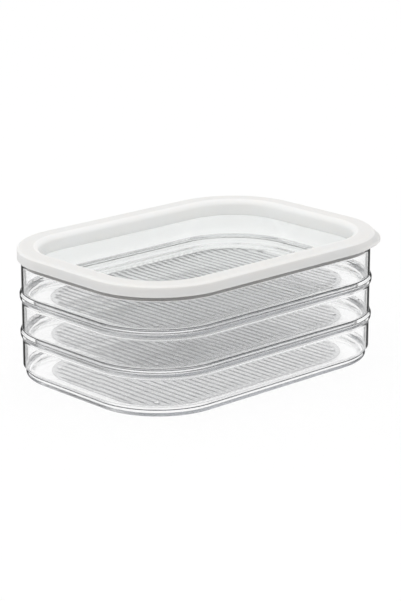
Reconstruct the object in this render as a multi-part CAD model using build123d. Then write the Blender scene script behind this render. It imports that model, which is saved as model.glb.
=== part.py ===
from build123d import *
import math
import os

# A storage box of three clear trays that nest one on another, closed by a soft lid with a clear window.
# Lengths are in millimetres. X runs along the long side, Z is up, and the origin is the middle of the
# face that the stack stands on.

# Outline of a tray's wall, seen from above
wall_length = 223.0
wall_width = 159.0
corner_radius = 50.0

# Section of a tray
wall = 1.6
floor = 1.3
tray_pitch = 25.3         # from one tray to the next in the stack
foot_depth = 7.2          # how far a foot reaches into the rim below it
foot_clearance = 0.3      # all round the foot, inside the rim below
foot_bevel = 2.0          # on the foot's lower edge
scoop_radius = 7.0        # inner rounding between the wall and the floor
scoop_steps = 2           # straight bands that make up that rounding

# Collar round the rim, as tall as the foot that sits in it
collar_height = 7.4
collar_out = 1.3          # how far the crest stands out from the wall
collar_edge_out = 0.2     # the same at the rim's upper edge
collar_upper_slope = 2.6  # from the rim's upper edge down to the crest
collar_lower_slope = 2.5  # from the crest down to the wall

# Ribbed field that lifts the food off the floor
field_length = 185.0
field_width = 121.0
field_radius = 35.0
rib_pitch = 5.25
rib_width = 3.0
rib_height = 0.7
rib_slope = 38.0          # lean of a rib's flanks, in degrees
pip_diameter = 3.4        # small pip where each corner of the field ends
pip_sides = 8             # the solid's pip is a polygon
pip_height = 1.0
pip_inset = 13.0          # from both sides of the field's corner to the pip

# Lid frame
lid_plate = 3.0           # top plate, which rests on the upper rim
skirt_wall = 1.0
skirt_clearance = 0.2     # between the skirt and the collar's crest
skirt_depth = 7.6         # from the lid's top face to the skirt's lower edge
lid_edge_bevel = 1.2      # on the outer edge of the top face
recess_bevel = 2.5        # on the upper edge of the recess
seal_clearance = 0.2      # between the sealing ring and the inside of the tray's wall
seal_wall = 1.3
seal_depth = 11.1         # from the lid's top face to the ring's lower edge
border = 14.4             # width of the frame's top face round the window
recess_depth = 10.5       # from the lid's top face down to the window
recess_wall = 2.0

# Clear window, moulded into a step at the foot of the recess
window_plate = 1.5
window_grip = 1.0         # how far the window runs in under the recess wall

# Thumb tab on one corner of the lid
tab_radius = 42.5         # radius of the corner that stands out, tighter than the lid's own
tab_shoulder = 1.0        # below the lid's top face, where the tab starts to lean out
tab_crest = 4.2           # below the lid's top face, where its outer edge is
tab_underside = 6.6
tab_edge_bevel = 0.6

# Worked out from the values above
tray_count = 3
tray_names = ("tray_bottom", "tray_middle", "tray_top")
tray_height = foot_depth + tray_pitch
stack_rim = foot_depth + tray_count * tray_pitch
lid_top = stack_rim + lid_plate
lid_grow = collar_out + skirt_clearance + skirt_wall


def outline(grow, z):
    """The tray's plan outline, grown outwards, as a face at height z."""
    plan = RectangleRounded(wall_length + 2 * grow, wall_width + 2 * grow, corner_radius + grow)
    return Pos(0, 0, z) * plan


def slab(grow, low, high):
    """A solid of that outline between two heights."""
    return extrude(outline(grow, low), high - low)


def bottom_edges(solid):
    return solid.edges().group_by(Axis.Z)[0]


def top_edges(solid):
    return solid.edges().group_by(Axis.Z)[-1]


def scoop():
    """The rounding between the wall and the floor, as a stack of bands below the cavity."""
    bands = []
    for step in range(scoop_steps + 1):
        turn = math.radians(90 * step / scoop_steps)
        grow = -wall - scoop_radius * (1 - math.sin(turn))
        bands.append(outline(grow, floor + scoop_radius * (1 - math.cos(turn))))
    return loft(bands, ruled=True)


def collar():
    """The thickening round the rim, which slopes back to the wall above and below its crest."""
    low = tray_height - collar_height
    bands = [
        outline(0, low),
        outline(collar_out, low + collar_lower_slope),
        outline(collar_out, tray_height - collar_upper_slope),
        outline(collar_edge_out, tray_height),
    ]
    return loft(bands, ruled=True)


def tray_shell():
    """Wall, collar, foot and floor of one tray, in its own frame."""
    body = slab(0, foot_depth, tray_height)
    foot = slab(-wall - foot_clearance, 0, foot_depth + wall)
    foot = chamfer(bottom_edges(foot), foot_bevel)
    cavity = slab(-wall, floor + scoop_radius, tray_height)
    return body + collar() + foot - cavity - scoop()


def rib_half_length(x):
    """Half the length of the rib at x, so that the ribs' ends follow the field's rounded corners."""
    past_corner = abs(x) + rib_width / 2 - (field_length / 2 - field_radius)
    if past_corner <= 0:
        return field_width / 2
    return field_width / 2 - field_radius + math.sqrt(field_radius**2 - past_corner**2)


def ribs():
    """The ribs across the floor, each with leaning flanks and ends."""
    count = int((field_length - rib_width) / rib_pitch) + 1
    first = -(count - 1) * rib_pitch / 2
    bars = []
    for number in range(count):
        x = first + number * rib_pitch
        plan = Pos(x, 0, floor) * Rectangle(rib_width, 2 * rib_half_length(x))
        bars.append(extrude(plan, rib_height, taper=rib_slope))
    return bars


def pips():
    """Four pips, one in each corner of the ribbed field."""
    x = field_length / 2 - pip_inset
    y = field_width / 2 - pip_inset
    pip = extrude(RegularPolygon(pip_diameter / 2, pip_sides), pip_height, taper=15)
    return [Pos(sx * x, sy * y, floor) * pip for sx in (-1, 1) for sy in (-1, 1)]


def tray():
    return tray_shell() + ribs() + pips()


def tab_outline(z):
    """The lid's outline at height z, with the tab's tighter corner at +X, -Y."""
    plan = Rectangle(wall_length + 2 * lid_grow, wall_width + 2 * lid_grow)
    tab_corner = plan.vertices().sort_by(lambda v: v.X - v.Y)[-1]
    plan = fillet(tab_corner, tab_radius)
    others = [v for v in plan.vertices() if v.X < 0 or v.Y > 0]
    square = [v for v in others if abs(v.X) > wall_length / 2 and abs(v.Y) > wall_width / 2]
    return Pos(0, 0, z) * fillet(square, corner_radius + lid_grow)


def thumb_tab():
    """The lip that leans out of one corner and ends in a rounded edge."""
    crest = lid_top - tab_crest
    lean = loft([tab_outline(crest), outline(lid_grow, lid_top - tab_shoulder)], ruled=True)
    lip = extrude(tab_outline(crest), tab_underside - tab_crest, dir=(0, 0, -1))
    lip = chamfer(bottom_edges(lip), tab_edge_bevel)
    corner_x = wall_length / 2 + lid_grow - corner_radius
    corner_y = wall_width / 2 + lid_grow - corner_radius
    reach = 2 * corner_radius
    corner = Box(reach, reach, reach, align=(Align.MIN, Align.MAX, Align.CENTER))
    inside = slab(lid_grow - skirt_wall, lid_top - skirt_depth, lid_top)
    return (lean + lip) & (Pos(corner_x, -corner_y, lid_top) * corner) - inside


def lid_frame():
    """Top plate, skirt, sealing ring, recess wall and tab, in one moulding."""
    skirt_low = lid_top - skirt_depth
    recess = lid_grow - border
    recess_low = lid_top - recess_depth - window_plate
    cap = slab(lid_grow, skirt_low, lid_top)
    cap = chamfer(top_edges(cap), lid_edge_bevel) + thumb_tab()
    flare = [outline(recess, lid_top - recess_bevel), outline(recess + recess_bevel, lid_top)]
    cap -= slab(recess, skirt_low, lid_top) + loft(flare, ruled=True)
    cap -= slab(lid_grow - skirt_wall, skirt_low - skirt_depth, stack_rim)

    seal_outer = -wall - seal_clearance
    ring = slab(seal_outer, lid_top - seal_depth, stack_rim)
    ring -= slab(seal_outer - seal_wall, lid_top - seal_depth, stack_rim)

    well = slab(recess + recess_wall, recess_low, stack_rim) - slab(recess, recess_low, stack_rim)
    step = slab(recess + window_grip, recess_low, recess_low + window_plate)
    return cap + ring + well - step


def lid_window():
    """The clear plate that closes the recess."""
    recess_low = lid_top - recess_depth - window_plate
    return slab(lid_grow - border + window_grip, recess_low, recess_low + window_plate)


def write(name, shape):
    shape.label = name
    export_step(shape, f"parts/{name}.step")


os.makedirs("parts", exist_ok=True)
one_tray = tray()
for level, tray_name in enumerate(tray_names):
    write(tray_name, Pos(0, 0, level * tray_pitch) * one_tray)
write("lid_frame", lid_frame())
write("lid_window", lid_window())
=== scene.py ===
import math

import bmesh
import bpy
import numpy as np
from mathutils import Euler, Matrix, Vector

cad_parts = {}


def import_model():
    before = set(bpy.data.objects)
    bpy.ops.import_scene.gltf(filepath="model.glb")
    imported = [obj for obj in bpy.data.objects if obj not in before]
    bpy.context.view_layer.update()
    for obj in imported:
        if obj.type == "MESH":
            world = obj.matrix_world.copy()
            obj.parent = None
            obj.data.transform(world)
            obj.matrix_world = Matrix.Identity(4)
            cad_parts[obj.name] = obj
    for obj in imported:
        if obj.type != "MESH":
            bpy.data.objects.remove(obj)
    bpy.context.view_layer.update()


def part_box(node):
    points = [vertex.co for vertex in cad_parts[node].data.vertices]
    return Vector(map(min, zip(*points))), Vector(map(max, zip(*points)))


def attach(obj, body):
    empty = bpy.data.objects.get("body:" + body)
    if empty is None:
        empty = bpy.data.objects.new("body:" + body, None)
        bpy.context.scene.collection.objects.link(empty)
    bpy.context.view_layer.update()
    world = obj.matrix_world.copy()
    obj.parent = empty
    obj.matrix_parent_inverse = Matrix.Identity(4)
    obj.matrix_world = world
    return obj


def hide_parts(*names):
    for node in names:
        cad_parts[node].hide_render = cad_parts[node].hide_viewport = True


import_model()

# Three clear trays nest one on another under a soft white lid with a sunk clear window.
# Lengths in this script are in millimetres, and become metres where a mesh or a mask is made. A section is
# a list of (grow, z) points, where grow is the distance outwards from the tray's wall outline.
MM = 0.001

# Outline of a tray's wall
corner_radius = 50.0
corner_steps = 44          # segments in each quarter turn of an outline
long_side_steps = 24
short_side_steps = 12

# Roundings of the sections
round_steps = 7            # segments in a rounding, and twice as many in a large one
small_steps = 4            # the same for the smallest pieces
large_radius = 3.0         # above this a rounding is a large one
sharp_angle = 40.0         # edges that turn more than this, in degrees, stay sharp

# Section of a tray
wall = 1.6
floor_plate = 1.3
foot_depth = 7.2
foot_clearance = 0.3
foot_round = 2.2
scoop_radius = 7.0
collar_height = 7.4
collar_out = 1.3
collar_edge_out = 0.2
collar_upper_slope = 2.6
collar_lower_slope = 2.5
collar_edge_round = 0.5    # upper edge of the crest
collar_soft_round = 3.5    # lower edge of the crest, and where the collar meets the wall
rim_round = 0.2
shoulder_round = 0.15
level_run = 2.0            # level piece of the section past the foot's and the scoop's rounding
air_gap = 0.04             # between faces that rest on each other, so that each one shows its own gloss

# Ribbed field on a tray's floor
field_length = 185.0
field_width = 121.0
field_radius = 35.0
field_margin = 1.2
field_step = 0.22          # the field stands this much above the floor round it
field_step_run = 0.3
field_end_insets = (0.0, 0.08, 0.3, 0.7)  # plain columns that round the field's short sides
field_end_reach = 1.0      # how far the plain columns' level part stops short of the field's outline
rib_pitch = 5.25
rib_width = 3.0
rib_height = 0.7
rib_slope = 38.0           # lean of a rib's flanks, in degrees
rib_round = 0.24
rib_end_point = 1.6        # how pointed a rib's end is, where 1 is a half circle
rib_end_run = 8.0          # length over which a rib's end rises to full height
rib_end_steps = 5
rib_end_curve = 1.2        # 1 is a straight rise, and more rises faster at first

# Pips in the field's corners
pip_diameter = 3.4
pip_height = 1.0
pip_inset = 13.0
pip_round = 0.35
pip_root = 0.6             # how deep a pip starts below the floor's face
pip_top_share = 0.9        # width of a pip's top as a share of its foot
pip_segments = 24

# Lid frame, measured down from its top face
skirt_wall = 1.0
skirt_clearance = 0.2
skirt_depth = 7.6
plate = 3.0
seal_clearance = 0.2
seal_wall = 1.3
seal_depth = 11.1
ring_edge = 0.45           # height of the ring's thin lower edge, which is painted lighter than the ring as painted light
border = 14.4
recess_depth = 10.5
recess_wall = 2.0
edge_round = 2.0           # outer edge of the top face
recess_round = 3.75
small_round = 0.3
window_plate = 1.5
window_grip = 1.0
window_round = 0.3
window_level_run = 3.0     # level piece of the window's section past its rounded edge

# Thumb tab
tab_radius = 42.5
tab_shoulder = 1.0
tab_crest = 4.2
tab_underside = 6.6
lip_root = ((0.35, 0.0), (0.2, 0.05), (0.08, 0.3))  # depth below the underside, share of the tab's reach
lip_low_share = 0.72       # share of the reach where the lip's rounding starts
lip_high_share = 0.86      # share of the reach where the rounding ends and the lean begins
lip_steps = 8
lean_steps = 6
lean_curve = 1.15          # 1 is a straight lean, and more is a hollow one

# Painted light and shade on the lid's plastic. It is one plastic, and these were set face by face to match
# the
# reference picture: the skirt and the seal ring are darkened as painted shade, and the recess walls, the
# underside and the ring's lower edge are lightened as painted light.
top_painted_shading = 0.82
recess_painted_light = 0.92
skirt_painted_shade = 0.69
skirt_painted_shade_from = 1.5      # below the lid's top face
ring_painted_shade = 0.20
ring_edge_painted_light = 1.0
under_painted_light = 0.95
painted_shading_reach = 0.5           # how far a face's painted light or shade runs into the plate or the recess wall
painted_shading_slack = 0.1           # takes in the points that lie on a face

# Clear plastics: colour and density of their absorption, share of the light that passes to what is behind,
# and IOR. The window's IOR is far below a real plastic's, so that the pane shows hardly any gloss.
tray_tint = (0.868, 0.875, 0.885, 1)
tray_density = 26.0
tray_light_passed = 0.98
tray_ior = 1.49
window_tint = (0.88, 0.90, 0.89, 1)
window_density = 250.0
window_light_passed = 0.99
window_ior = 1.12
clear_roughness = (0.005, 0.05)
flow_scale = 55.0
wear_scale = 900.0
flow_bump = 0.00002

# Colours on the trays' surface. All but the plain white are painted shade: greys and near-blacks that stand
# in for the dark that the clear plastic refracts and reflects.
plain_colour = (1, 1, 1, 1)
rib_painted_shade = (0.51, 0.515, 0.52, 1)            # seen at a low angle
rib_painted_shade_above = (0.86, 0.865, 0.87, 1)      # seen from above
flank_painted_shade = (0.54, 0.545, 0.55, 1)
step_painted_shade = (0.05, 0.05, 0.055, 1)
edge_painted_shade = (0.012, 0.013, 0.014, 1)
edge_ior = 1.02            # under the painted dark edges and lines, so that no gloss covers the painted shade

# Where a mask of painted shade begins and ends, set while looking from the camera's place. Facing is Layer
# Weight's: 0 is face on and 1 is edge on. Tilt is 0 for a face that stands upright and 1 for a level one.
low_view_facing = (0.35, 0.66)
wall_facing = (0.75, 0.79)
falling_facing = (0.75, 0.775)
wall_tilt = (0.42, 0.55)
flank_tilt = (0.66, 0.85)
step_tilt = (0.94, 0.98)
joint_tilt = (0.9, 0.98)
rib_end_tilt = (0.015, 0.035)                  # along Y
noise_range = (0.3, 0.7)                       # what a noise texture mostly gives

# The same in millimetres
field_foot = (0.06, 0.2)                       # above the floor
field_top = (0.05, 0.2)                        # above the ribs, and the blur
field_sides = (2.0, 1.0)                       # outside the field, and the blur
step_zone = (-12.0, -10.0)                     # grow
outside_grow = (-1.0, -0.8)                    # grow
step_blur = 0.02

# Thin painted dark lines round a tray, painted shade at its joints and edges, each as half its width and
# its blur
joint_line = (0.22, 0.1)
joint_drop = 0.2           # from the rim down to the line at the joint under the next tray
crest_line = (0.14, 0.08)
scoop_line = (0.16, 0.06)
scoop_line_height = 4.9

# Lid's plastic
cloud_colours = ((1, 0.985, 0.96, 1), (0.988, 0.985, 0.975, 1))
cloud_scale = 28.0
grain_scale = 2400.0
grain_bump = 0.000012
lid_roughness = (0.38, 0.55)
lid_ior = 1.49
lid_subsurface = 0.8
lid_subsurface_radius = (1.0, 0.95, 0.9)
lid_subsurface_scale = 0.004

# Studio
sky_light = 1.00           # what the world gives to surfaces
sky_stops = ((0.0, 1.0), (0.32, 1.0), (0.42, 0.50), (0.58, 0.50), (0.68, 1.0))  # share of the height, white
floor_reach = 6.0          # metres from the middle to the floor's edge
floor_drop = 0.0002        # metres from the object's foot down to the floor
floor_glow = 0.85          # share of the floor that shows plain white to the camera and in gloss
floor_glow_through = 0.98  # the same for what is seen through clear plastic
overhead_power = 0.8
left_power = 2.4
clear_bounces = 64         # light runs far inside the trays' floors before it comes out
passed_bounces = 48

# Camera, with its lengths in metres
camera_azimuth = -42.975
camera_elevation = 16.58
camera_distance = 1.4
camera_target = (0.0019, -0.0003, 0.0421)
camera_lens = 126.24
camera_near = 0.01

almost_zero = 1e-6
far = 1000.0               # higher than anything in the scene

tray_names = ("tray_bottom", "tray_middle", "tray_top")


def corners_of(node):
    """Lowest and highest corner of a solid of the frame, in millimetres."""
    low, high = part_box(node)
    return low / MM, high / MM


tray_low, tray_high = corners_of("tray_bottom")
next_low = corners_of("tray_middle")[0]
lid_high = corners_of("lid_frame")[1]
tray_height = tray_high.z - tray_low.z
tray_pitch = next_low.z - tray_low.z
half_length = tray_high.x - collar_out
half_width = tray_high.y - collar_out
lid_top = lid_high.z
lid_grow = collar_out + skirt_clearance + skirt_wall
ring_outer = -wall - seal_clearance
ring_inner = ring_outer - seal_wall
recess_grow = lid_grow - border


# Mesh helpers

def arc_points(start, corner, end, radius, steps):
    """The points of a rounded corner between two straight runs."""
    a, b, c = (np.array(p, float) for p in (start, corner, end))
    to_a = (a - b) / np.linalg.norm(a - b)
    to_c = (c - b) / np.linalg.norm(c - b)
    half_angle = math.acos(float(np.clip(to_a @ to_c, -1, 1))) / 2
    reach = radius / math.tan(half_angle)
    middle = b + (to_a + to_c) / np.linalg.norm(to_a + to_c) * radius / math.sin(half_angle)
    first = b + to_a * reach - middle
    last = b + to_c * reach - middle
    turn = math.acos(float(np.clip(first @ last / radius**2, -1, 1)))
    points = []
    for step in range(steps + 1):
        share = step / steps
        points.append(middle + (math.sin((1 - share) * turn) * first + math.sin(share * turn) * last)
                      / math.sin(turn))
    return points


def rounded(corners, closed=False, steps=round_steps):
    """A polyline through (grow, z, radius) corners, with each corner rounded by its radius."""
    count = len(corners)
    points = []
    for i, (grow, z, radius) in enumerate(corners):
        if radius == 0 or (not closed and i in (0, count - 1)):
            points.append(np.array((grow, z), float))
            continue
        before = corners[i - 1][:2]
        after = corners[(i + 1) % count][:2]
        points += arc_points(before, (grow, z), after, radius, steps * (2 if radius > large_radius else 1))
    return points


def outline_ring(half_x, half_y, radius):
    """Base points and outward normals round a rounded rectangle, anticlockwise from +X."""
    base, normals = [], []
    quarters = ((1, 1, 0), (-1, 1, 90), (-1, -1, 180), (1, -1, 270))
    sides = (long_side_steps, short_side_steps, long_side_steps, short_side_steps)
    for (sign_x, sign_y, start), side in zip(quarters, sides):
        centre = np.array((sign_x * (half_x - radius), sign_y * (half_y - radius)))
        for step in range(corner_steps + 1):
            angle = math.radians(start + 90 * step / corner_steps)
            normal = np.array((math.cos(angle), math.sin(angle)))
            base.append(centre + radius * normal)
            normals.append(normal)
        following = len(base) - 1
        run = 2 * ((half_x if sign_x * sign_y > 0 else half_y) - radius)
        along = np.array((-normals[following][1], normals[following][0]))
        for step in range(1, side):
            base.append(base[following] + along * run * step / side)
            normals.append(normals[following])
    return np.array(base), np.array(normals)


def sweep(bm, ring, section, closed, push=None):
    """Sweeps a section round an outline.

    push(i, j) is an extra distance outwards for ring point i and section point j.
    """
    base, normals = ring
    rows = []
    for i in range(len(base)):
        row = []
        for j, (grow, z) in enumerate(section):
            out = grow + (push(i, j) if push else 0)
            x, y = base[i] + normals[i] * out
            row.append(bm.verts.new((x * MM, y * MM, z * MM)))
        rows.append(row)
    last = len(section) if closed else len(section) - 1
    for i in range(len(rows)):
        here, there = rows[i], rows[(i + 1) % len(rows)]
        for j in range(last):
            k = (j + 1) % len(section)
            bm.faces.new((here[j], there[j], there[k], here[k]))
    return rows


def zip_loops(bm, outer, inner):
    """Fills the flat band between two loops that go round the same middle, both anticlockwise."""
    def turned(loop):
        angles = [math.atan2(v.co.y, v.co.x) for v in loop]
        first = int(np.argmin(angles))
        loop = loop[first:] + loop[:first]
        return loop, [math.atan2(v.co.y, v.co.x) for v in loop] + [math.pi * 3]
    outer, outer_angles = turned(outer)
    inner, inner_angles = turned(inner)
    i = j = 0
    while i < len(outer) or j < len(inner):
        a, b = outer[i % len(outer)], inner[j % len(inner)]
        step_outer = j >= len(inner) or (i < len(outer) and outer_angles[i + 1] <= inner_angles[j + 1])
        if step_outer:
            i += 1
            bm.faces.new((a, outer[i % len(outer)], b))
        else:
            j += 1
            bm.faces.new((a, inner[j % len(inner)], b))


def finished(name, bm):
    """An object from a bmesh, shaded smooth between its sharp edges with normals weighted by area."""
    bmesh.ops.recalc_face_normals(bm, faces=bm.faces)
    mesh = bpy.data.meshes.new(name)
    bm.to_mesh(mesh)
    bm.free()
    mesh.polygons.foreach_set("use_smooth", [True] * len(mesh.polygons))
    mesh.set_sharp_from_angle(angle=math.radians(sharp_angle))
    piece = bpy.data.objects.new(name, mesh)
    bpy.context.scene.collection.objects.link(piece)
    weighted = piece.modifiers.new("weighted normals", "WEIGHTED_NORMAL")
    weighted.keep_sharp = True
    return piece


# Tray

def tray_section():
    """From the middle of the foot's underside, out and up over the rim, and down to the floor."""
    foot = -wall - foot_clearance
    top = tray_height - air_gap
    collar_low = tray_height - collar_height
    scoop_end = -wall - scoop_radius
    return rounded([
        (foot - foot_round - level_run, 0, 0),
        (foot, 0, foot_round),
        (foot, foot_depth, shoulder_round),
        (0, foot_depth, shoulder_round),
        (0, collar_low, collar_soft_round),
        (collar_out, collar_low + collar_lower_slope, collar_soft_round),
        (collar_out, tray_height - collar_upper_slope, collar_edge_round),
        (collar_edge_out, top, rim_round),
        (-wall, top, rim_round),
        (-wall, floor_plate, scoop_radius),
        (scoop_end - level_run, floor_plate, 0),
    ])


def half_field(x, grow):
    """Half the ribbed field's width at x, with the field grown by a margin."""
    radius = field_radius + grow
    past = max(0.0, abs(x) - (field_length / 2 - field_radius))
    return field_width / 2 - field_radius + math.sqrt(max(0.0, radius**2 - past**2))


def rib_half_length(x):
    """Half the length of the rib at x, so that the ribs' ends follow the field's rounded corners."""
    past = max(0.0, abs(x) + rib_width / 2 - (field_length / 2 - field_radius))
    return field_width / 2 - field_radius + math.sqrt(field_radius**2 - past**2)


def rib_columns():
    """Each column across the field as (x, height, y of the rib's end), from -X to +X."""
    lean = rib_height * math.tan(math.radians(rib_slope))
    half = rib_width / 2
    profile = rounded([
        (-half - rib_round, 0, 0), (-half, 0, rib_round), (-half + lean, rib_height, rib_round),
        (half - lean, rib_height, rib_round), (half, 0, rib_round), (half + rib_round, 0, 0),
    ], steps=small_steps)[1:-1]
    count = int((field_length - rib_width) / rib_pitch) + 1
    first = -(count - 1) * rib_pitch / 2
    columns = []
    for number in range(count):
        centre = first + number * rib_pitch
        reach = rib_half_length(centre)
        for across, height in profile:
            inset = half - math.sqrt(max(0.0, half**2 - across**2))
            columns.append((centre + across, height, reach - inset * rib_end_point))
    return columns


def field_ends():
    """Plain columns that round the field's -X end, from its edge inwards."""
    edge = field_length / 2 + field_margin
    return [(inset - edge, 0, half_field(edge - inset, field_margin) - field_end_reach)
            for inset in field_end_insets]


def rib_patch(bm):
    """The ribbed part of the floor. Returns its outer loop, anticlockwise."""
    ends = field_ends()
    columns = ends + rib_columns() + [(-x, height, reach) for x, height, reach in reversed(ends)]
    grid = []
    for number, (x, height, reach) in enumerate(columns):
        rows = [
            (half_field(x, field_margin + field_step_run), 0.0),
            (half_field(x, field_margin), field_step),
        ]
        for step in range(rib_end_steps + 1):
            share = step / rib_end_steps
            rise = 1 - (1 - share) ** rib_end_curve
            lift = (height - field_step) * rise if height else 0.0
            rows.append((reach - rib_end_run * share, field_step + lift))
        if number in (0, len(columns) - 1):
            x += math.copysign(field_step_run, x)
            rows = [(y, 0.0) for y, _ in rows]
        ys = [(-y, z) for y, z in rows] + [(y, z) for y, z in reversed(rows)]
        grid.append([bm.verts.new((x * MM, y * MM, (floor_plate + z) * MM)) for y, z in ys])
    for left, right in zip(grid, grid[1:]):
        for k in range(len(left) - 1):
            bm.faces.new((left[k], right[k], right[k + 1], left[k + 1]))
    south = [column[0] for column in grid]
    north = [column[-1] for column in grid]
    return south + grid[-1][1:-1] + north[::-1] + grid[0][1:-1][::-1]


def pip_mesh():
    """The four pips, each a low round stud that starts inside the floor."""
    bm = bmesh.new()
    radius = pip_diameter / 2
    profile = rounded([
        (0, -pip_root, 0), (radius, -pip_root, 0), (radius, 0, 0),
        (radius * pip_top_share, pip_height, pip_round), (0, pip_height, 0),
    ], steps=small_steps)
    turns = [2 * math.pi * s / pip_segments for s in range(pip_segments)]
    for sign_x in (-1, 1):
        for sign_y in (-1, 1):
            cx = sign_x * (field_length / 2 - pip_inset)
            cy = sign_y * (field_width / 2 - pip_inset)
            rings = []
            for reach, z in profile[1:-1]:
                rings.append([bm.verts.new(((cx + reach * math.cos(t)) * MM,
                                            (cy + reach * math.sin(t)) * MM,
                                            (floor_plate + z) * MM)) for t in turns])
            for low, high in zip(rings, rings[1:]):
                for s in range(pip_segments):
                    n = (s + 1) % pip_segments
                    bm.faces.new((low[s], low[n], high[n], high[s]))
            bm.faces.new(rings[0][::-1])
            bm.faces.new(rings[-1])
    return bm


def tray_mesh():
    """One tray with its foot at z = 0, as a closed mesh."""
    bm = bmesh.new()
    ring = outline_ring(half_length, half_width, corner_radius)
    rows = sweep(bm, ring, tray_section(), closed=False)
    bm.faces.new([row[0] for row in rows])
    zip_loops(bm, [row[-1] for row in rows], rib_patch(bm))
    body = finished("tray", bm)
    pips = finished("pips", pip_mesh())
    union = body.modifiers.new("pips", "BOOLEAN")
    union.operation = "UNION"
    union.solver = "EXACT"
    union.object = pips
    body.modifiers.move(1, 0)
    mesh = bpy.data.meshes.new_from_object(body.evaluated_get(bpy.context.evaluated_depsgraph_get()))
    mesh.name = "tray"
    for extra in (body, pips):
        bpy.data.objects.remove(extra)
    return mesh


# Lid

def lid_section():
    """The frame's closed section, with z measured down from the lid's top face."""
    outer = lid_grow
    inner = lid_grow - skirt_wall
    recess = recess_grow
    well = recess + recess_wall
    low = -recess_depth - window_plate
    under = -plate + air_gap
    return [
        (inner, -skirt_depth, small_round),
        (outer, -skirt_depth, small_round),
        (outer, 0, edge_round),
        (recess, 0, recess_round),
        (recess, -recess_depth, small_round),
        (recess + window_grip, -recess_depth, 0),
        (recess + window_grip, low, 0),
        (well, low, small_round),
        (well, under, small_round),
        (ring_inner, under, small_round),
        (ring_inner, ring_edge - seal_depth, 0),
        (ring_inner, -seal_depth, small_round),
        (ring_outer, -seal_depth, small_round),
        (ring_outer, ring_edge - seal_depth, 0),
        (ring_outer, under, small_round),
        (inner, under, small_round),
    ]


def lean_share(z):
    """Share of the tab's reach where it leans out, from its crest up to the lid's shoulder."""
    up = (z + tab_crest) / (tab_crest - tab_shoulder)
    return lip_high_share * (1 - up) ** lean_curve if up < 1 else 0.0


def tab_profile():
    """Points up the skirt as (z, share of the tab's reach), from under the lip to the lid's shoulder."""
    lip = tab_underside - tab_crest
    points = [(-tab_underside - below, share) for below, share in lip_root]
    for step in range(lip_steps + 1):
        turn = math.pi * step / lip_steps
        start = lip_low_share if step < lip_steps / 2 else lip_high_share
        z = -tab_underside + lip * (1 - math.cos(turn)) / 2
        points.append((z, start + (1 - start) * math.sin(turn)))
    for step in range(1, lean_steps):
        z = -tab_crest + (tab_crest - edge_round) * step / lean_steps
        points.append((z, lean_share(z)))
    return points


def tab_reach(ring):
    """How far the tab's tighter corner stands out past the lid's own, at each point of the ring."""
    base, normals = ring
    centre = np.array((half_length - corner_radius, -(half_width - corner_radius)))
    lid_radius = corner_radius + lid_grow
    shift = lid_radius - tab_radius
    away = np.array((shift, -shift))
    tab_centre = centre + away
    reach = []
    for normal in normals:
        if normal[0] < almost_zero or normal[1] > -almost_zero:
            reach.append(0.0)
            continue
        along = float(away @ normal)
        across2 = float(away @ away) - along**2
        hit = along + math.sqrt(max(0.0, tab_radius**2 - across2))
        end = centre + normal * hit
        if end[1] > tab_centre[1]:
            hit = lid_radius / normal[0]
        elif end[0] < tab_centre[0]:
            hit = lid_radius / -normal[1]
        reach.append(hit - lid_radius)
    return reach


def lid_painted_shading(grow, drop):
    """Painted light and shade of the lid's plastic at a point of its section, by the face that the point
    lies on.
    """
    below_plate = drop > plate - painted_shading_reach
    if below_plate and ring_inner - painted_shading_slack < grow < ring_outer + painted_shading_slack:
        return ring_painted_shade if drop < seal_depth - ring_edge + painted_shading_slack else ring_edge_painted_light
    on_recess_round = grow < recess_grow + recess_round and drop < plate - painted_shading_reach
    if grow < recess_grow + recess_wall - painted_shading_reach or on_recess_round:
        return recess_painted_light
    if grow > lid_grow - skirt_wall - painted_shading_slack and drop > skirt_painted_shade_from:
        return skirt_painted_shade
    return under_painted_light if below_plate else top_painted_shading


def lid_frame_piece():
    """The white moulding, with its painted light and shade kept as an attribute of the points."""
    ring = outline_ring(half_length, half_width, corner_radius)
    section = rounded(lid_section(), closed=True)
    start = 2 * (round_steps + 1)  # the tab's points follow the two roundings of the skirt's lower edge
    skirt = tab_profile()
    section = section[:start] + [np.array((lid_grow, z)) for z, _ in skirt] + section[start:]
    shares = [0.0] * start + [share for _, share in skirt]
    for grow, z in section[len(shares):]:
        on_shoulder = grow > lid_grow - edge_round and z > -tab_crest
        shares.append(lean_share(z) if on_shoulder else 0.0)
    reach = tab_reach(ring)
    lowered = [(grow, z + lid_top) for grow, z in section]
    shading_values = [lid_painted_shading(grow, -z) for grow, z in section]
    bm = bmesh.new()
    painted_shading = bm.verts.layers.float.new("painted_shading")
    for row in sweep(bm, ring, lowered, closed=True, push=lambda i, j: reach[i] * shares[j]):
        for vertex, value in zip(row, shading_values):
            vertex[painted_shading] = value
    return finished("lid_frame_moulding", bm)


def window_piece():
    """The clear plate that closes the recess."""
    edge = recess_grow + window_grip - air_gap
    high = lid_top - recess_depth - air_gap
    low = lid_top - recess_depth - window_plate
    section = rounded([
        (edge - window_level_run, low, 0), (edge, low, window_round),
        (edge, high, window_round), (edge - window_level_run, high, 0),
    ], steps=small_steps)
    bm = bmesh.new()
    rows = sweep(bm, outline_ring(half_length, half_width, corner_radius), section, closed=False)
    bm.faces.new([row[0] for row in rows])
    bm.faces.new([row[-1] for row in rows])
    return finished("lid_window_pane", bm)


# Materials

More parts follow.
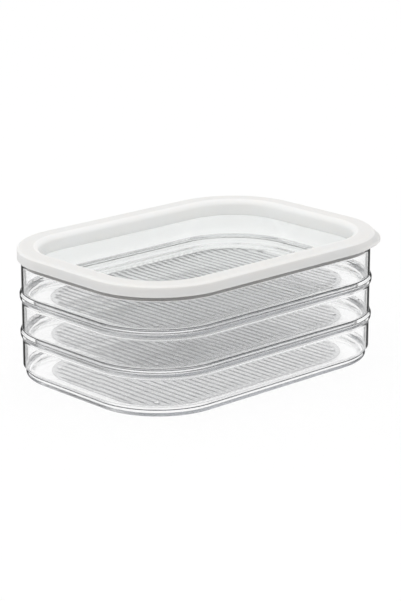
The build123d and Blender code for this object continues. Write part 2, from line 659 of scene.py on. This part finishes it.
class Nodes:
    """A small helper that adds nodes to a tree and links their sockets."""

    def __init__(self, tree):
        self.tree = tree
        tree.nodes.clear()

    def set(self, socket, value):
        """Links a socket, or sets it where the value is plain."""
        if isinstance(value, bpy.types.NodeSocket):
            self.tree.links.new(value, socket)
        else:
            socket.default_value = value

    def add(self, kind, **inputs):
        node = self.tree.nodes.new(kind)
        for name, value in inputs.items():
            self.set(node.inputs[name.replace("_", " ")], value)
        return node

    def mix_shaders(self, share, first, second):
        node = self.tree.nodes.new("ShaderNodeMixShader")
        for socket, value in zip(node.inputs, (share, first.outputs[0], second.outputs[0])):
            self.set(socket, value)
        return node

    def math(self, operation, first, second):
        node = self.tree.nodes.new("ShaderNodeMath")
        node.operation = operation
        self.set(node.inputs[0], first)
        self.set(node.inputs[1], second)
        return node.outputs[0]

    def vector(self, operation, first, second=None):
        node = self.tree.nodes.new("ShaderNodeVectorMath")
        node.operation = operation
        self.set(node.inputs[0], first)
        if second is not None:
            self.set(node.inputs[1], second)
        return node.outputs["Value" if operation == "LENGTH" else "Vector"]

    def both(self, first, second):
        """1 where both masks are 1."""
        return self.math("MULTIPLY", first, second)

    def either(self, first, second):
        """1 where one of the masks is 1."""
        return self.math("MAXIMUM", first, second)

    def opposite(self, mask):
        return self.math("SUBTRACT", 1.0, mask)

    def parts(self, vector):
        """The X, Y and Z sockets of a vector."""
        node = self.add("ShaderNodeSeparateXYZ")
        self.set(node.inputs[0], vector)
        return node.outputs


def material(name):
    made = bpy.data.materials.new(name)
    made.use_nodes = True
    return made, Nodes(made.node_tree)


def noise(nodes, place, scale, detail):
    node = nodes.add("ShaderNodeTexNoise", Scale=scale, Detail=detail)
    nodes.set(node.inputs["Vector"], place)
    return node.outputs["Fac"]


def mapped(nodes, value, results, limits):
    """The first result below the first limit, the second above the second, and a straight run between."""
    node = nodes.add("ShaderNodeMapRange")
    nodes.set(node.inputs["Value"], value)
    for name, number in zip(("From Min", "From Max", "To Min", "To Max"), (*limits, *results)):
        node.inputs[name].default_value = number
    return node.outputs["Result"]


def rising(nodes, value, limits):
    return mapped(nodes, value, (0.0, 1.0), limits)


def falling(nodes, value, limits):
    return mapped(nodes, value, (1.0, 0.0), limits)


def in_metres(limits):
    return tuple(limit * MM for limit in limits)


def within(nodes, value, limit, blur):
    """1 where the value's size is below the limit, and 0 above it."""
    return falling(nodes, nodes.math("ABSOLUTE", value, 0.0), in_metres((limit, limit + blur)))


def near_height(nodes, height, level, line):
    """1 in a thin line at a level, where the line is half its width and its blur."""
    return within(nodes, nodes.math("SUBTRACT", height, level * MM), *line)


def bump(nodes, height, distance):
    node = nodes.add("ShaderNodeBump", Strength=1.0, Distance=distance)
    nodes.set(node.inputs["Height"], height)
    return node.outputs["Normal"]


def blend(nodes, share, first, second):
    """A colour that goes from the first to the second with the share."""
    mix = nodes.add("ShaderNodeMix")
    mix.data_type = "RGBA"
    nodes.set(mix.inputs[0], share)
    nodes.set(mix.inputs[6], first)
    nodes.set(mix.inputs[7], second)
    return mix.outputs[2]


def facing(nodes):
    """Layer Weight's facing: 0 where a face is seen face on, and 1 edge on."""
    return nodes.add("ShaderNodeLayerWeight", Blend=0.5).outputs["Facing"]


def seen_from_inside(nodes):
    return nodes.add("ShaderNodeNewGeometry").outputs["Backfacing"]


def tilt(nodes, axis="Z"):
    """How much a face looks along an axis. Along Z, it is 0 for an upright wall and 1 for a floor."""
    normal = nodes.add("ShaderNodeTexCoord").outputs["Normal"]
    return nodes.math("ABSOLUTE", nodes.parts(normal)[axis], 0.0)


def grow_of(nodes, place):
    """Distance outwards from the tray's wall outline, in metres."""
    middle = Vector((half_length - corner_radius, half_width - corner_radius, far)) * MM
    past = nodes.vector("SUBTRACT", nodes.vector("ABSOLUTE", place), middle)
    length = nodes.vector("LENGTH", nodes.vector("MAXIMUM", past, Vector((0, 0, 0))))
    return nodes.math("SUBTRACT", length, corner_radius * MM)


def field_mask(nodes, place):
    """1 on the raised ribbed field of a tray's floor."""
    x, y, z = nodes.parts(place)
    raised = rising(nodes, z, in_metres(floor_plate + limit for limit in field_foot))
    slack, blur = field_top
    low = within(nodes, z, floor_plate + rib_height + slack, blur)
    slack, blur = field_sides
    along = within(nodes, x, field_length / 2 + slack, blur)
    across = within(nodes, y, field_width / 2 + slack, blur)
    return nodes.both(nodes.both(raised, low), nodes.both(along, across))


def field_rim(nodes, place):
    """1 on the small step round the ribbed field, where a dark line is painted as painted shade."""
    sloping = falling(nodes, tilt(nodes), step_tilt)
    inside = falling(nodes, grow_of(nodes, place), in_metres(step_zone))
    half_step = field_step / 2
    line = near_height(nodes, nodes.parts(place)["Z"], floor_plate + half_step,
                       (half_step - step_blur, step_blur))
    return nodes.both(line, nodes.both(sloping, inside))


def grazing_wall(nodes):
    """1 where an upright wall turns away from the eye and sends light sideways; its edge is painted near
    black there as painted shade.
    """
    upright = nodes.both(falling(nodes, tilt(nodes), wall_tilt), nodes.opposite(seen_from_inside(nodes)))
    return nodes.both(rising(nodes, facing(nodes), wall_facing), upright)


def far_rib_ends(nodes, field):
    """1 on the ribs' ends that slope away from the eye, which are painted dark as painted shade."""
    ends = nodes.both(field, rising(nodes, tilt(nodes, "Y"), rib_end_tilt))
    return nodes.both(ends, rising(nodes, facing(nodes), falling_facing))


def collar_painted_lines(nodes, place):
    """Thin painted dark lines round a tray, painted shade that stands in for the dark these edges show.

    They are the joint under the next tray, the crisp upper edge of the collar's crest, and a line on the
    rounding between wall and floor.
    """
    z = nodes.parts(place)["Z"]
    outer = rising(nodes, grow_of(nodes, place), in_metres(outside_grow))
    inside = seen_from_inside(nodes)
    joint = near_height(nodes, z, tray_height - joint_drop, joint_line)
    joint = nodes.both(joint, falling(nodes, tilt(nodes), joint_tilt))
    joint = nodes.both(joint, nodes.both(outer, nodes.opposite(inside)))
    hidden = nodes.both(nodes.opposite(outer), inside)
    crest = near_height(nodes, z, tray_height - collar_upper_slope, crest_line)
    crest = nodes.both(crest, nodes.opposite(hidden))
    scoop = near_height(nodes, z, scoop_line_height, scoop_line)
    scoop = nodes.both(scoop, nodes.opposite(nodes.either(outer, inside)))
    return nodes.either(nodes.either(joint, crest), scoop)


def tray_painted_shade(nodes, place, field):
    """Painted shade on the field: a grey for the dark that the ribs and their flanks refract and reflect,
    darker when seen at a low angle, with a painted dark line on the step round it.
    """
    low_view = rising(nodes, facing(nodes), low_view_facing)
    colour = blend(nodes, field, plain_colour, blend(nodes, low_view, rib_painted_shade_above, rib_painted_shade))
    flank = nodes.both(field, falling(nodes, tilt(nodes), flank_tilt))
    colour = blend(nodes, flank, colour, flank_painted_shade)
    return blend(nodes, field_rim(nodes, place), colour, step_painted_shade)


def clear_plastic(name, tint, density, light_passed, index, ribbed):
    """Polished clear plastic, with the faint flow waves and fine wear that mouldings have, and near-black
    painted shade on edges seen edge on; on the trays also the painted grey of the ribbed field and painted
    dark lines.
    """
    made, nodes = material(name)
    place = nodes.add("ShaderNodeTexCoord").outputs["Object"]
    shader = nodes.add("ShaderNodeBsdfPrincipled", IOR=index, Transmission_Weight=1.0)
    colour = plain_colour
    # Where the near-black painted shade goes on walls seen edge on
    edge = grazing_wall(nodes)
    if ribbed:
        field = field_mask(nodes, place)
        colour = tray_painted_shade(nodes, place, field)
        lines = nodes.either(far_rib_ends(nodes, field), collar_painted_lines(nodes, place))
        edge = nodes.either(edge, lines)
        # The IOR drops under the painted dark edges and lines, so that no gloss covers the painted shade
        nodes.set(shader.inputs["IOR"], mapped(nodes, edge, (index, edge_ior), (0.0, 1.0)))
    # The base colour carries the painted shade: near black on edges and lines, grey on the ribbed field
    nodes.set(shader.inputs["Base Color"], blend(nodes, edge, colour, edge_painted_shade))
    wear = mapped(nodes, noise(nodes, place, wear_scale, 3.0), clear_roughness, noise_range)
    nodes.set(shader.inputs["Roughness"], wear)
    nodes.set(shader.inputs["Normal"], bump(nodes, noise(nodes, place, flow_scale, 1.0), flow_bump))
    passed = nodes.add("ShaderNodeBsdfTransparent", Color=(light_passed, light_passed, light_passed, 1))
    path = nodes.add("ShaderNodeLightPath")
    soft = nodes.mix_shaders(path.outputs["Is Diffuse Ray"], shader, passed)
    surface = nodes.mix_shaders(path.outputs["Is Shadow Ray"], soft, passed)
    absorb = nodes.add("ShaderNodeVolumeAbsorption", Color=tint, Density=density)
    nodes.add("ShaderNodeOutputMaterial", Surface=surface.outputs[0], Volume=absorb.outputs[0])
    return made


def soft_plastic(name):
    """Soft white lid plastic: satin, a little light comes through, with a fine moulded grain, and its
    colour scaled face by face by painted light and shade.
    """
    made, nodes = material(name)
    place = nodes.add("ShaderNodeTexCoord").outputs["Object"]
    grain = noise(nodes, place, grain_scale, 3.0)
    cloud = rising(nodes, noise(nodes, place, cloud_scale, 2.0), noise_range)
    # The painted light and shade that the points carry scales the plastic's colour
    painted_shading = nodes.add("ShaderNodeAttribute")
    painted_shading.attribute_name = "painted_shading"
    scaled = nodes.add("ShaderNodeVectorMath")
    scaled.operation = "SCALE"
    nodes.set(scaled.inputs[0], blend(nodes, cloud, *cloud_colours))
    nodes.set(scaled.inputs["Scale"], painted_shading.outputs["Fac"])
    shader = nodes.add(
        "ShaderNodeBsdfPrincipled", Base_Color=scaled.outputs[0], IOR=lid_ior,
        Roughness=mapped(nodes, grain, lid_roughness, noise_range), Normal=bump(nodes, grain, grain_bump),
        Subsurface_Weight=lid_subsurface, Subsurface_Radius=lid_subsurface_radius,
        Subsurface_Scale=lid_subsurface_scale)
    nodes.add("ShaderNodeOutputMaterial", Surface=shader.outputs[0])
    return made


def floor_material():
    """White paper that takes the object's shadow and mostly shows plain white."""
    made, nodes = material("studio_floor")
    path = nodes.add("ShaderNodeLightPath").outputs
    diffuse = nodes.add("ShaderNodeBsdfDiffuse", Color=(1, 1, 1, 1))
    glow = nodes.add("ShaderNodeEmission", Color=(1, 1, 1, 1))
    seen = nodes.either(path["Is Camera Ray"], path["Is Glossy Ray"])
    seen = nodes.math("MULTIPLY", seen, floor_glow)
    through = nodes.math("MULTIPLY", path["Is Transmission Ray"], floor_glow_through)
    surface = nodes.mix_shaders(nodes.either(seen, through), diffuse, glow)
    nodes.add("ShaderNodeOutputMaterial", Surface=surface.outputs[0])
    return made


# Studio

def world():
    """White behind the object, with a darker band higher up that clear edges catch."""
    made = bpy.data.worlds.new("studio")
    made.use_nodes = True
    nodes = Nodes(made.node_tree)
    path = nodes.add("ShaderNodeLightPath").outputs
    place = nodes.add("ShaderNodeTexCoord").outputs["Generated"]
    ramp = nodes.add("ShaderNodeValToRGB")
    nodes.set(ramp.inputs[0], nodes.parts(place)["Z"])
    elements = ramp.color_ramp.elements
    while len(elements) < len(sky_stops):
        elements.new(0.5)
    for element, (position, value) in zip(elements, sky_stops):
        element.position = position
        element.color = (value, value, value, 1)
    shown = blend(nodes, path["Is Camera Ray"], ramp.outputs[0], (1, 1, 1, 1))
    back = nodes.add("ShaderNodeBackground", Color=shown)
    light = nodes.add("ShaderNodeBackground", Color=(1, 1, 1, 1), Strength=sky_light)
    surface = nodes.mix_shaders(path["Is Diffuse Ray"], back, light)
    nodes.add("ShaderNodeOutputWorld", Surface=surface.outputs[0])
    bpy.context.scene.world = made


def direction(azimuth, elevation):
    a, e = math.radians(azimuth), math.radians(elevation)
    return Vector((math.sin(a) * math.cos(e), -math.cos(a) * math.cos(e), math.sin(e)))


def lamp(name, azimuth, elevation, distance, size, power):
    """A square soft lamp that faces the object."""
    data = bpy.data.lights.new(name, "AREA")
    data.size = size
    data.energy = power
    made = bpy.data.objects.new(name, data)
    away = direction(azimuth, elevation)
    made.location = away * distance
    made.rotation_euler = away.to_track_quat("Z", "Y").to_euler()
    bpy.context.scene.collection.objects.link(made)


def floor_piece():
    bm = bmesh.new()
    bmesh.ops.create_grid(bm, x_segments=2, y_segments=2, size=floor_reach)
    mesh = bpy.data.meshes.new("floor")
    bm.to_mesh(mesh)
    bm.free()
    made = bpy.data.objects.new("floor", mesh)
    made.location.z = -floor_drop
    bpy.context.scene.collection.objects.link(made)
    made.data.materials.append(floor_material())


def camera():
    data = bpy.data.cameras.new("camera")
    data.lens = camera_lens
    data.clip_start = camera_near
    made = bpy.data.objects.new("camera", data)
    made.location = Vector(camera_target) + direction(camera_azimuth, camera_elevation) * camera_distance
    turn = (math.radians(90 - camera_elevation), 0, math.radians(camera_azimuth))
    made.rotation_euler = Euler(turn, "XYZ")
    bpy.context.scene.collection.objects.link(made)
    bpy.context.scene.camera = made


def dress(piece, body, node, shade):
    """Gives a piece its material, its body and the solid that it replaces."""
    piece.data.materials.clear()
    piece.data.materials.append(shade)
    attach(piece, body)
    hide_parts(node)


tray_plastic = clear_plastic(
    "clear_tray_plastic", tray_tint, tray_density, tray_light_passed, tray_ior, ribbed=True)
window_plastic = clear_plastic(
    "clear_window_plastic", window_tint, window_density, window_light_passed, window_ior, ribbed=False)
lid_plastic = soft_plastic("soft_lid_plastic")

shared_tray = tray_mesh()
for level, tray_name in enumerate(tray_names):
    moulding = bpy.data.objects.new(f"{tray_name}_moulding", shared_tray)
    moulding.location.z = level * tray_pitch * MM
    bpy.context.scene.collection.objects.link(moulding)
    dress(moulding, tray_name, tray_name, tray_plastic)
dress(lid_frame_piece(), "lid", "lid_frame", lid_plastic)
dress(window_piece(), "lid", "lid_window", window_plastic)

world()
lamp("overhead", azimuth=-20, elevation=75, distance=1.6, size=1.5, power=overhead_power)
lamp("left_fill", azimuth=-100, elevation=20, distance=2.0, size=1.5, power=left_power)
floor_piece()
camera()
scene = bpy.context.scene
scene.view_settings.view_transform = "Standard"
scene.cycles.max_bounces = clear_bounces
scene.cycles.transmission_bounces = clear_bounces
scene.cycles.glossy_bounces = clear_bounces
scene.cycles.transparent_max_bounces = passed_bounces
